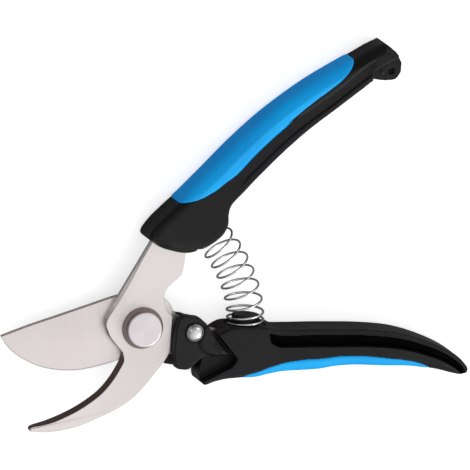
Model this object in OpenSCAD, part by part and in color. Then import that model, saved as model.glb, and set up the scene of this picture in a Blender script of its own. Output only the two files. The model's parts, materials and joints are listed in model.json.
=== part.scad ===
// Bypass pruning shears, open position.
// Origin: centre of the hanging hole in the tail of the upper handle.
// The parts are drawn about the pivot axis, with z = 0 at the shear plane
// between the two plates, and place() moves them to the hanging hole.
// +X runs back along the lower handle, +Y towards the upper handle,
// +Z along the pivot axis towards the bolt head.

/* [Plates] */
// Thickness of the hook plate
hook_t = 3.5; // [3.3:0.1:3.5]
// Thickness of the cutting blade
blade_t = 3.0; // [2.6:0.1:3]
// Gap between the plates at the shear plane
shear_gap = 0.04; // [0.02:0.01:0.08]
// Width of the ground bevel on the cutting blade
bevel_w = 6.0; // [4:0.5:7]
// Flat on the hook plate boss, distance from the pivot axis
boss_flat = 13.4; // [13.2:0.1:13.4]

/* [Pivot] */
// Radius of the pivot bolt shank
bolt_r = 4.0; // [3.6:0.1:4.2]
// Radius of the round bolt head
head_r = 7.7; // [7:0.1:8]
// Height of the round bolt head
head_h = 3.1; // [2.4:0.1:3.4]
// Outer radius of the flange washer under the head
washer_r = 9.4; // [9:0.1:9.6]
// Thickness of the flange washer
washer_t = 0.9; // [0.7:0.1:1.1]
// Radial running clearance of the pivot
run_clear = 0.05; // [0.03:0.01:0.08]
// Distance across the flats of the lock nut
nut_af = 13; // [12:0.5:14]
// Angle between open and closed handles, degrees
close_angle = 38; // [36:0.5:39]

/* [Handles] */
// Half of the handle depth along the pivot axis
half_depth = 10; // [9:0.5:10.5]
// Squareness of the handle section
section_power = 4.2; // [3:0.1:5]
// Thickness of the soft grip inserts
grip_t = 2.2; // [1.6:0.1:2.6]
// Depth of the side channels in the handles
channel_depth = 3; // [2:0.5:4]
// Radius of the hanging hole
hang_r = 1.5; // [1.2:0.1:1.8]

/* [Spring] */
// Wire diameter of the coil spring
wire_d = 1; // [0.7:0.1:1]
// Mean coil radius
coil_r = 8.0; // [7.6:0.1:8.2]
// Active turns
active_turns = 7.5; // [6:0.5:8]
// Distance of the spring axis from the pivot
spring_arc_r = 48.4; // [48:0.1:49]
// Radius of the posts inside the coil ends
post_r = 6.2; // [5.5:0.1:6.6]

/* [Latch] */
// Position of the latch rivet along X
rivet_x = 23.0; // [22.8:0.1:23.2]
// Position of the latch rivet along Y
rivet_y = -1.2; // [-1.4:0.1:-1]
// Radius of the rivet shank
rivet_r = 2.0; // [1.8:0.1:2.2]
// Radius of the domed rivet head
rivet_head_r = 3.4; // [3:0.1:3.6]
// Radius of the locking cam about the rivet
cam_r = 9.4; // [9.2:0.1:9.4]
// Height of the latch front face above the shear plane
latch_top = 8.7; // [8.2:0.1:8.8]

/* [Hidden] */
$fn = 64;

steel = [0.84, 0.80, 0.80];
black = [0.16, 0.15, 0.16];
blue = [0.10, 0.58, 0.90];
e = 0.01;
// hanging hole, from the pivot axis
hang = [106.2, 116.3];
module place() translate([-hang[0], -hang[1], 0]) children();

// ---------- curves ----------
function cr(a, b, c, d, t) = 0.5 * (2 * b + (c - a) * t
    + (2 * a - 5 * b + 4 * c - d) * t * t + (3 * b - a - 3 * c + d) * t * t * t);
function at(P, u) = let (n = len(P) - 1, v = min(max(u, 0), 1) * n,
    i = min(floor(v), n - 1), t = v - i)
    cr(P[max(i - 1, 0)], P[i], P[i + 1], P[min(i + 2, n)], t);
function curve(P, n) = [for (i = [0:n]) at(P, i / n)];
function rev(P) = [for (i = [len(P) - 1:-1:0]) P[i]];
function lerp(a, b, t) = a + (b - a) * t;
function smooth(a, b, x) = let (t = min(max((x - a) / (b - a), 0), 1)) t * t * (3 - 2 * t);
function rot2(p, a) = [p[0] * cos(a) - p[1] * sin(a), p[0] * sin(a) + p[1] * cos(a)];
// Outline moved outward by d, corner by corner
function offs(P, d) = let (n = len(P)) [for (i = [0:n - 1])
    let (a = P[(i + n - 1) % n], b = P[i], c = P[(i + 1) % n], u = (b - a) / norm(b - a),
         v = (c - b) / norm(c - b), s = [u[1] + v[1], -u[0] - v[0]])
    b + s * min(2 * d / (s * s), 1)];

// Closed solid from a list of rings with the same number of points
module loft(R, flip = false) {
    n = len(R); k = len(R[0]);
    pts = [for (r = R) each r];
    side = [for (i = [0:n - 2]) for (j = [0:k - 1]) let (a = i * k + j, b = i * k + (j + 1) % k)
        each [[a, b, b + k], [a, b + k, a + k]]];
    c0 = [[for (j = [k - 1:-1:0]) j]];
    c1 = [[for (j = [0:k - 1]) (n - 1) * k + j]];
    F = concat(side, c0, c1);
    polyhedron(points = pts, faces = flip ? [for (f = F) rev(f)] : F, convexity = 6);
}

// ---------- plate outlines ----------
// Cutting edge of the blade, from the tip to the heel
blade_edge = [[-63.4, -5.6], [-59.4, -10.3], [-54.4, -14], [-47.4, -17.4], [-40.3, -19.3],
              [-33.3, -20], [-26.4, -19.7], [-19.6, -18.4], [-12.8, -16.6], [-7, -14.8], [0, -13.6]];
// Back of the blade, from the tip over the pivot to the tang
blade_back = [[-63.4, -4.6], [-51, 0.1], [-37.4, 4.7], [-24, 9.3], [-12.6, 13.2], [-4, 15.2],
              [4, 14.2], [12, 9.6], [20, 6], [25, 4.2], [29, 2], [32, -1]];
tang_end = [[46, -2.5], [62, -4], [66, -8], [62, -12.5], [46, -14], [30, -13.5], [14, -12.6]];

// Left edge and nose of the hook plate
hook_left = [[6, 48], [0.9, 37.6], [-12.2, 13.2]];
hook_nose = [[-12.2, 13.2], [-15.6, 5.8], [-16.8, 1.6], [-15.6, -1.8], [-13.9, -4.9], [-8.9, -10.4]];
hook_inner = [[-8.2, -11.2], [-8.7, -14.6], [-10.6, -18.8], [-13, -23], [-16.8, -27.9], [-21.2, -31.8],
              [-27.7, -36.2], [-34.3, -39.6], [-41, -42.4], [-47.4, -44.4], [-48.8, -45.7]];
hook_outer = [[-48.2, -46.8], [-42, -47.2], [-35.7, -46.8], [-29.6, -45.6], [-23.8, -43.8], [-16.9, -40.8],
              [-11, -38], [-3.2, -33], [3.5, -26], [8.1, -19.7], [11.4, -15.2], [13.1, -12]];
hook_right = [[boss_flat, -8.5], [boss_flat, 7.6], [11.2, 11.2], [9, 14.2], [10.4, 18.2],
              [14.2, 21.8], [16.4, 24.4], [17.2, 28.6], [17.6, 33.9], [19.5, 42]];
hook_tang = [[26.5, 52], [31, 60], [29, 63.5], [21, 59.5]];
function hook_outline() = concat(hook_left, curve(hook_nose, 12), curve(hook_inner, 28),
    curve(hook_outer, 26), hook_right, hook_tang);
function blade_outline() = concat(curve(blade_edge, 26), rev(tang_end), rev(curve(blade_back, 22)));

// ---------- handle form ----------
// Inner (finger side) and outer (palm side) lines of the lower handle
low_in = [[29, -4.5], [30.5, -1.4], [34, 0.6], [38, 1.4], [45, 1.5], [53.5, 1.5], [58, 1.2], [62, 0.5],
          [69, 0.5], [80, 0.7], [92, 0.7], [103, 0.5], [116, -0.6], [127, -3.2], [138, -7.4],
          [146, -12.2], [151, -17], [152.2, -19.2]];
low_out = [[27.2, -21], [28.6, -24.6], [33, -23.2], [38.5, -21.9], [45, -21.4], [53, -21.2], [59, -20],
           [65, -18.9], [73, -18.4], [82, -17.8], [90, -16.5], [99, -16], [112, -16.4], [124, -16.6],
           [136, -18.2], [144, -20.2], [149, -21.2], [151, -20.6]];
// Inner and outer lines of the upper handle
up_in = [[20, 35.9], [27, 38.7], [32, 42.8], [34.4, 47.5], [34.4, 52.5], [35.6, 56.9], [41, 63],
         [47.2, 69.9], [58.4, 81.4], [69.2, 91.2], [80.6, 100.1], [91.5, 108.7], [98, 113.4],
         [103.5, 112.2], [108.4, 112.6], [110.8, 115.8]];
up_out = [[6, 38.2], [-0.5, 41], [-2.6, 43.8], [2, 48.4], [7.4, 53.4], [13.4, 59.2], [23.4, 70.2],
          [36.7, 84.2], [50.6, 96.7], [67.2, 109.3], [80.9, 117.8], [90, 122.9], [98.5, 127.6],
          [104.6, 127], [108.6, 123.6], [110.9, 120]];
// Depth factor along each handle
low_dep = [0.86, 0.97, 1, 1, 1, 1, 1, 1, 1, 1, 1, 1, 1, 0.98, 0.94, 0.84, 0.66, 0.45];
up_dep = [0.9, 0.97, 1, 1, 1, 1, 1, 1, 1, 1, 1, 1, 0.98, 0.95, 0.88, 0.72];
// Half angle of the soft grip around the section, along each handle
low_grip_a = [70, 74, 76, 75, 70];
up_grip_a = [74, 84, 88, 87, 78];
low_g0 = 0.235; low_g1 = 0.80;
up_g0 = 0.335; up_g1 = 0.745;

function sq(c, n) = sign(c) * pow(abs(c), 2 / n);
function sect(IN, OUT, DEP, u, th, inset) =
    let (i = at(IN, u), o = at(OUT, u), m = (i + o) / 2, h = (o - i) / 2, w = norm(h),
         d = half_depth * at(DEP, u),
         a = sq(cos(th), section_power) * max(w - inset, 0.2) / w,
         b = sq(sin(th), section_power) * max(d - inset, 0.2))
    [m[0] + h[0] * a, m[1] + h[1] * a, b];
// Insert depth and half angle at a station: zero outside the grip
function g_run(u, g0, g1) = (u <= g0 || u >= g1) ? 0 : sqrt(min(1, min(u - g0, g1 - u) / 0.035));
function g_ang(u, g0, g1, A) = let (t = min(max((u - g0) / (g1 - g0), 0), 1),
    q = min(1, min(t, 1 - t) / 0.16)) max(8, at(A, t) * sqrt(max(q * (2 - q), 0)));

module handle_form(IN, OUT, DEP, g0, g1, A, n, flip) {
    R = [for (k = [0:n]) let (u = k / n, ga = g_ang(u, g0, g1, A), gi = grip_t * g_run(u, g0, g1))
        concat([for (j = [-7:7]) sect(IN, OUT, DEP, u, ga * j / 7, gi)],
               [for (j = [0:14]) sect(IN, OUT, DEP, u, ga + 0.8 + (360 - 2 * ga - 1.6) * j / 14, 0)])];
    loft(R, flip);
}
// Insert on the same stations as the handle pocket (n stations along the handle)
module grip_form(IN, OUT, DEP, g0, g1, A, n, flip) {
    k0 = floor(g0 * n) + 1; k1 = ceil(g1 * n) - 1;
    R = [for (k = [k0:k1]) let (u = k / n, e = 1 - min(1, min(u - g0, g1 - u) / 0.04),
              ga = g_ang(u, g0, g1, A) - 0.6 - 2.6 * e, gi = grip_t * g_run(u, g0, g1) - 0.15 - 0.25 * e)
        concat([for (j = [-7:7]) sect(IN, OUT, DEP, u, ga * j / 7, 0)],
               [for (j = [7:-1:-7]) sect(IN, OUT, DEP, u, (ga - 0.8) * j / 7, gi)])];
    loft(R, flip);
}
// Region between two fractions of the handle width, for the side channels
function band(IN, OUT, u0, u1, a0, a1, n) = concat(
    [for (k = [0:n]) let (u = lerp(u0, u1, k / n)) lerp(at(IN, u), at(OUT, u), a0)],
    [for (k = [n:-1:0]) let (u = lerp(u0, u1, k / n)) lerp(at(IN, u), at(OUT, u), a1)]);
module both_sides(z0, z1) for (s = [0, 1]) mirror([0, 0, s]) translate([0, 0, z0]) linear_extrude(z1 - z0) children();

// ---------- spring ----------
// Centre line: leaves each seat along that seat's own axis and bends evenly in between
seat_lean = 1.5;  // lean of the lower end
seat_tilt = 45;   // tilt of the upper seat
spring_foot = [spring_arc_r, 1.2];
spring_head = [0.56, 0.915] * spring_arc_r;
spring_bend = seat_tilt - seat_lean;
// end handles of a cubic that stands in for a round arc of that bend
spring_lead = 4 / 3 * tan(spring_bend / 4) * norm(spring_head - spring_foot) / (2 * sin(spring_bend / 2));
spring_line = [spring_foot,
    spring_foot + spring_lead * [-sin(seat_lean), cos(seat_lean)],
    spring_head - spring_lead * [-sin(seat_tilt), cos(seat_tilt)],
    spring_head];
function spring_c(w) = let (p = spring_line, v = 1 - w)
    v * v * v * p[0] + 3 * v * v * w * p[1] + 3 * v * w * w * p[2] + w * w * w * p[3];
function spring_d(w) = let (p = spring_line, v = 1 - w,
    d = v * v * (p[1] - p[0]) + 2 * v * w * (p[2] - p[1]) + w * w * (p[3] - p[2])) d / norm(d);
// pitch along the wire: tighter near both seats
turns = active_turns + 2.5;
function ease(x) = let (q = min(max(x, 0), 1)) q * q * (3 - 2 * q);
function pitch(t) = (0.45 + 0.55 * ease((t - 0.8) / 1.6)) * (0.25 + 0.75 * ease((turns - t - 1) / 1.6));
steps = 200;
pitch_sum = [for (k = 0, c = 0; k <= steps; c = c + pitch(turns * (k + 0.5) / steps), k = k + 1) [turns * k / steps, c]];
spring_end = (wire_d / 2 + 0.05) / 50;
function spring_w(t) = spring_end + (1 - 2 * spring_end) * lookup(t, pitch_sum) / pitch_sum[steps][1];
function coil_pt(t, r) = let (w = spring_w(t), c = spring_c(w), d = spring_d(w), q = 360 * t + 180)
    [c[0] + d[1] * r * cos(q), c[1] - d[0] * r * cos(q), -r * sin(q)];

// ---------- latch ----------
rv = [rivet_x, rivet_y];
latch_face = [[13.8, -8], [14, -3], [14.3, 1.5], [15.2, 4.9], [17.2, 6.3], [20.1, 6.5], [22.7, 5.6], [26, 4.3],
              [28.9, 2.5], [31.3, -0.8], [34.5, -4.9], [38.4, -8.6], [40.2, -10.9], [39.6, -12.2],
              [36.5, -12.6], [32.8, -12.5], [29.2, -12.5], [26.6, -13.9], [24.8, -15.6], [23.3, -17.2],
              [21.8, -18.4], [20, -18.7], [17.4, -18.5], [15.4, -17.4], [14.2, -15.2]];

// ================= parts =================
module bore(x, y, r, z0, z1) translate([x, y, z0]) cylinder(h = z1 - z0, r = r);

module cutting_blade() color(steel) place() {
    ed = curve(blade_edge, 26);
    difference() {
        translate([0, 0, -blade_t]) linear_extrude(blade_t) polygon(blade_outline());
        // ground bevel on the far side of the edge
        loft([for (i = [0:22]) let (p = ed[i], q = ed[min(i + 1, 26)], o = ed[max(i - 1, 0)], d = q - o,
                  nrm = [d[1], -d[0]] / norm(d), w = bevel_w * smooth(-0.5, 4, i) * (1 - smooth(19, 22.5, i)) + 0.3)
            [[p[0] + nrm[0] * 0.06, p[1] + nrm[1] * 0.06, -0.35],
             [p[0] + nrm[0] * 3, p[1] + nrm[1] * 3, -0.35 + 1.2],
             [p[0] + nrm[0] * 3, p[1] + nrm[1] * 3, -blade_t - 1],
             [p[0] - nrm[0] * w, p[1] - nrm[1] * w, -blade_t - 1],
             [p[0] - nrm[0] * w, p[1] - nrm[1] * w, -blade_t]]], flip = true);
        bore(0, 0, bolt_r + 0.02, -blade_t - 1, 1);
        bore(rivet_x, rivet_y, rivet_r + 0.02, -blade_t - 1, 1);
        // anchor holes, filled by the moulded handle
        for (p = [[40, -8], [54, -8]]) bore(p[0], p[1], 2.5, -blade_t - 1, 1);
    }
}

module hook_plate() color(steel) place()
    difference() {
        translate([0, 0, shear_gap]) linear_extrude(hook_t - shear_gap) polygon(hook_outline());
        bore(0, 0, 5.25, -1, 5);
        // rebate that the latch cam turns into when the handles are closed
        let (c = rot2(rv, close_angle)) bore(c[0], c[1], cam_r + 0.2, 1.75, 6);
        for (p = [[13, 48], [23, 56]]) bore(p[0], p[1], 2.2, -1, 5);
    }

module pivot_bolt() color(steel) place() {
    z = hook_t + washer_t;
    difference() {
        union() {
            rotate_extrude() polygon([[0, z], [head_r - 0.5, z], [head_r, z + 0.5], [head_r, z + head_h - 0.7],
                [head_r - 0.5, z + head_h - 0.15], [head_r - 1, z + head_h], [0, z + head_h]]);
            translate([0, 0, -blade_t - 0.9]) cylinder(h = z + blade_t + 0.9 + e, r = bolt_r);
            translate([0, 0, -9.2]) cylinder(h = 7, r = 3.5);
        }
        translate([0, 0, -9.3]) cylinder(h = 1.2, r = 1.2);
    }
}

module pivot_washer() color(steel) place()
    rotate_extrude() polygon([[bolt_r + run_clear, hook_t + 0.02], [washer_r, hook_t + 0.02], [washer_r, hook_t + washer_t * 0.5],
        [washer_r - 0.4, hook_t + washer_t - 0.02], [bolt_r + run_clear, hook_t + washer_t - 0.02]]);

module pivot_bushing() color([0.75, 0.6, 0.3]) place()
    difference() {
        bore(0, 0, 5.23, 0.06, hook_t - 0.02);
        bore(0, 0, bolt_r + run_clear, -1, 6);
    }

module spring_washer() color(steel) place()
    rotate_extrude() polygon([[bolt_r + 0.15, -blade_t - 0.02], [6, -blade_t - 0.02], [7.8, -blade_t - 0.3],
        [7.8, -blade_t - 0.85], [bolt_r + 0.15, -blade_t - 0.85]]);

module lock_nut() color(steel) place()
    difference() {
        union() {
            translate([0, 0, -7.4]) cylinder(h = 7.4 - blade_t - 0.9, r = nut_af / 2 / cos(30), $fn = 6);
            translate([0, 0, -8.7]) cylinder(h = 1.4, r = 5.8);
        }
        bore(0, 0, 3.52, -12, 0);
        bore(0, 0, 5, -12, -7.6);
    }

module nut_lock_ring() color(blue) place()
    difference() {
        bore(0, 0, 4.98, -8.5, -7.62);
        bore(0, 0, 3.53, -12, 0);
    }

module coil_spring() color([0.8, 0.8, 0.8]) place() {
    per = 22; n = floor(turns * per); m = 7; w = wire_d / 2;
    loft([for (i = [0:n]) let (t = i / per, p = coil_pt(t, coil_r), p1 = coil_pt(t + 0.001, coil_r),
              f = (p1 - p) / norm(p1 - p), c = spring_c(spring_w(t)), ro = p - [c[0], c[1], 0],
              r1 = ro - f * (ro * f), x = r1 / norm(r1), y = cross(f, x))
        [for (j = [0:m - 1]) p + w * (x * cos(360 * j / m) + y * sin(360 * j / m))]], flip = true);
}

module lower_handle() color(black) place() {
    difference() {
        union() {
            difference() {
                handle_form(low_in, low_out, low_dep, low_g0, low_g1, low_grip_a, 60, false);
                // step round the latch lever
                translate([0, 0, 3.6]) linear_extrude(20)
                    polygon([[20, 8], [29, 3.4], [32.4, -0.9], [39.8, -8.9], [42.8, -12.4], [41, -16.2], [28, -22.8], [20, -30]]);
                // shallow round seat of the spring
                translate([spring_arc_r, 0.6, 0]) rotate([-90, 0, 0]) cylinder(h = 4, r = coil_r + 1.2);
            }
            // rear cheek that carries the latch rivet
            translate([0, 0, -7.5]) linear_extrude(4.45)
                polygon([[14.4, 3], [16.5, 4.8], [20, 4.6], [26, 2.6], [31, -1], [34, -4], [34, -20], [29, -22],
                         [27, -19.6], [20, -18.8], [13.6, -17.6], [13.8, -10]]);
            // seat post of the spring
            translate([spring_arc_r, 0, 0]) rotate([-90, 0, 0]) cylinder(h = 5.6, r = post_r);
        }
        // side channels
        both_sides(half_depth - channel_depth, half_depth + 2)
            polygon(band(low_in, low_out, 0.42, 0.87, 0.17, 0.44, 16));
        // slot of the moulded-in blade tang
        translate([0, 0, -blade_t - 0.05]) linear_extrude(blade_t + 0.1) polygon(offs(rev(concat(
            [for (i = [14:22]) at(blade_back, i / 22)], tang_end)), 0.12));
        // room for the latch hub and its washer
        bore(rivet_x, rivet_y, 7.2, -0.1, 20);
        translate([0, 0, -blade_t - 0.05]) linear_extrude(3.6 + blade_t + 0.06)
            polygon([[0, 12], [26.6, 12], [27.2, -5], [27.2, -19], [24, -26], [0, -26]]);
        bore(rivet_x, rivet_y, rivet_r + 0.02, -12, 0);
        // spot face for the rivet washer
        bore(rivet_x, rivet_y, 4.6, -12, -7.5);
    }
}

module lower_grip() color(blue) place() grip_form(low_in, low_out, low_dep, low_g0, low_g1, low_grip_a, 60, false);
module upper_grip() color(blue) place() grip_form(up_in, up_out, up_dep, up_g0, up_g1, up_grip_a, 54, true);

module upper_handle() color(black) place() {
    difference() {
        union() {
            difference() {
                handle_form(up_in, up_out, up_dep, up_g0, up_g1, up_grip_a, 54, true);
                // round spring seat
                translate(spring_line[3]) rotate([0, 0, seat_tilt])
                    rotate([90, 0, 0]) cylinder(h = 16, r = coil_r + 1);
            }
            translate(spring_line[3]) rotate([0, 0, seat_tilt])
                rotate([90, 0, 0]) translate([0, 0, -2]) cylinder(h = 6, r = post_r);
        }
        // side channels
        both_sides(half_depth - channel_depth, half_depth + 2)
            polygon(band(up_in, up_out, 0.42, 0.72, 0.19, 0.46, 14));
        // thin hanging lug
        both_sides(4.5, half_depth + 2)
            polygon([[96.4, 106], [96.8, 117.6], [98, 118.5], [107.4, 123.1], [116, 126], [118, 104]]);
        // slot of the moulded-in hook plate tang
        translate([0, 0, shear_gap - 0.05]) linear_extrude(hook_t - shear_gap + 0.1)
            polygon(offs(concat([[-6, 24], [18, 24], [17.6, 33.9], [19.5, 42]], hook_tang, [[6, 48], [0.9, 37.6]]), 0.12));
        bore(hang[0], hang[1], hang_r, -6, 6);
    }
}

module latch() color(black) place() {
    difference() {
        union() {
            translate([0, 0, 3.72]) linear_extrude(latch_top - 3.72) polygon(latch_face);
            bore(rivet_x, rivet_y, 6.5, 0.55, 4);
            // locking cam sector
            intersection() {
                bore(rivet_x, rivet_y, cam_r, 1.95, 4);
                translate([rivet_x, rivet_y, 0]) linear_extrude(6)
                    polygon(concat([[0, 0]], [for (a = [207:8.6:250]) 14 * [cos(a), sin(a)]]));
            }
        }
        bore(rivet_x, rivet_y, rivet_r + run_clear, -1, 12);
        bore(rivet_x, rivet_y, rivet_head_r + 0.5, latch_top - 0.6, 12);
    }
}

module latch_rivet() color(steel) place() {
    h = 2.0; z = latch_top - 0.55;
    R = (rivet_head_r * rivet_head_r + h * h) / (2 * h);
    union() {
        intersection() {
            translate([rivet_x, rivet_y, z + h - R]) sphere(r = R, $fn = 96);
            bore(rivet_x, rivet_y, rivet_head_r, z, z + h + 1);
        }
        bore(rivet_x, rivet_y, rivet_r, -8.2, z + e);
        translate([rivet_x, rivet_y, -9.3]) cylinder(h = 1.15, r1 = 2.4, r2 = 3.2);
    }
}

module latch_washer() color(steel) place()
    difference() {
        bore(rivet_x, rivet_y, 5.2, 0.04, 0.5);
        bore(rivet_x, rivet_y, rivet_r + 0.1, -1, 2);
    }

module rivet_washer() color(steel) place()
    difference() {
        bore(rivet_x, rivet_y, 4.3, -8.12, -7.53);
        bore(rivet_x, rivet_y, rivet_r + 0.03, -12, 0);
    }

cutting_blade();
hook_plate();
pivot_bolt();
pivot_washer();
pivot_bushing();
spring_washer();
lock_nut();
nut_lock_ring();
coil_spring();
upper_handle();
upper_grip();
lower_handle();
lower_grip();
latch();
latch_rivet();
latch_washer();
rivet_washer();
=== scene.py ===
import bpy, bmesh, math, json
import numpy as np
from mathutils import Vector, Matrix


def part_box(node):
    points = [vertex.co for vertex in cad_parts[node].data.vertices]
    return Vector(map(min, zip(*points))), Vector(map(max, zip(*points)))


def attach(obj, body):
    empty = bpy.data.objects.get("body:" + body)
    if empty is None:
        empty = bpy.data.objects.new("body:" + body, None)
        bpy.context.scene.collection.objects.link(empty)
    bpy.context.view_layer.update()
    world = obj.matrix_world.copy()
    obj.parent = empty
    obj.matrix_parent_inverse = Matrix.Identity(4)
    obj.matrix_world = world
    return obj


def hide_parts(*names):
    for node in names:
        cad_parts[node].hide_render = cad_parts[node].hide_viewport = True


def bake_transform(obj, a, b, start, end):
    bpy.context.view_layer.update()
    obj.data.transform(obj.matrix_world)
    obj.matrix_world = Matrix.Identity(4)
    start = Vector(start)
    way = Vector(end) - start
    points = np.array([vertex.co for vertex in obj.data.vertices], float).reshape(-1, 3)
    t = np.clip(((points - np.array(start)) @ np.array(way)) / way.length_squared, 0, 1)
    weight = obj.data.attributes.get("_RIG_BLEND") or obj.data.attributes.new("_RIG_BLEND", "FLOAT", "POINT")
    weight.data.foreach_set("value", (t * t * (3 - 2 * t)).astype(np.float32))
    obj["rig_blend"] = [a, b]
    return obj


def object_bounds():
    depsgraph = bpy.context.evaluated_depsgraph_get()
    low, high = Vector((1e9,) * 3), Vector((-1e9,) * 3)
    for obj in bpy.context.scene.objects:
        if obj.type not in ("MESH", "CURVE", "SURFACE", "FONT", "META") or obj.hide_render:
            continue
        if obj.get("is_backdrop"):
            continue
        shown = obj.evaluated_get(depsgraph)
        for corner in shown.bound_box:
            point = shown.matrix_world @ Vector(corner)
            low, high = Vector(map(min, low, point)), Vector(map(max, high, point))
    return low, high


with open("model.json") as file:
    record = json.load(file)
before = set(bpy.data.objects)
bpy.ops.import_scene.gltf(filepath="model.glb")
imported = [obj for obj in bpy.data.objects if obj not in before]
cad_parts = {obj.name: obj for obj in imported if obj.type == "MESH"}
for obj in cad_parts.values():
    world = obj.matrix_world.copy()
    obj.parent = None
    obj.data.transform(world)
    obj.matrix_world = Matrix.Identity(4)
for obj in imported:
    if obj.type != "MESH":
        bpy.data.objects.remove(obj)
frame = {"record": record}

cad_lo, cad_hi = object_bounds()          # the CAD box, before anything is replaced
MM = 0.001
rec = frame["record"]
JOINTS = {j["name"]: j for j in rec["behaviour"]["joints"]}
# everything is drawn in millimetres about the pivot axis, then placed at the pivot joint
OFF = np.array(JOINTS["pivot"]["pos_m"], float)
OFFV = Vector(OFF)
RVX, RVY = [(a - b) / MM for a, b in zip(JOINTS["latch_turn"]["pos_m"][:2], OFF[:2])]


def nbox(n):
    lo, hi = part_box(n)
    return (np.array(lo) - OFF) / MM, (np.array(hi) - OFF) / MM


# ------------------------------------------------------------------ curves
def cr_at(P, u):
    """Catmull-Rom through control points P at u in 0..1, straight beyond the ends."""
    P = np.asarray(P, float)
    u = np.asarray(u, float)
    n = len(P) - 1
    v = np.clip(u, 0, 1) * n
    i = np.minimum(v.astype(int), n - 1)
    t = (v - i)[..., None]
    a, b, c, d = P[np.maximum(i - 1, 0)], P[i], P[i + 1], P[np.minimum(i + 2, n)]
    r = 0.5 * (2 * b + (c - a) * t + (2 * a - 5 * b + 4 * c - d) * t * t + (3 * b - a - 3 * c + d) * t ** 3)
    under, over = np.minimum(u, 0)[..., None], np.maximum(u - 1, 0)[..., None]
    return r + under * n * (P[1] - P[0]) + over * n * (P[-1] - P[-2])


def cr_s(V, u):
    return cr_at(np.asarray(V, float)[:, None], u)[..., 0]


def curve(P, n):
    return cr_at(P, np.linspace(0, 1, n + 1))


def sstep(a, b, x):
    t = np.clip((x - a) / (b - a), 0, 1)
    return t * t * (3 - 2 * t)


def smax(a, b, r):
    """Maximum with a rounded edge of about radius r."""
    h = np.clip(0.5 + 0.5 * (a - b) / r, 0, 1)
    return b + (a - b) * h + r * h * (1 - h)


def smin(a, b, r):
    return -smax(-a, -b, r)


def rmax(a, b, r):
    """Two faces joined by a true quarter-round of radius r."""
    p, q = np.maximum(a + r, 0), np.maximum(b + r, 0)
    return np.minimum(np.maximum(a, b), -r) + np.sqrt(p * p + q * q)


def poly_sd(P, X, Y):
    """Signed distance to a closed polygon, negative inside."""
    P = np.asarray(P, float)
    d = np.full(X.shape, 1e9)
    inside = np.zeros(X.shape, bool)
    n = len(P)
    for i in range(n):
        ax, ay = P[i - 1]
        bx, by = P[i]
        ex, ey = bx - ax, by - ay
        L = ex * ex + ey * ey
        if L < 1e-12:
            continue
        wx, wy = X - ax, Y - ay
        t = np.clip((wx * ex + wy * ey) / L, 0, 1)
        dx, dy = wx - ex * t, wy - ey * t
        d = np.minimum(d, dx * dx + dy * dy)
        cross = ((ay > Y) != (by > Y)) & (X < (bx - ax) * (Y - ay) / (by - ay + 1e-30) + ax)
        inside ^= cross
    return np.where(inside, -1, 1) * np.sqrt(d)


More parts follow.
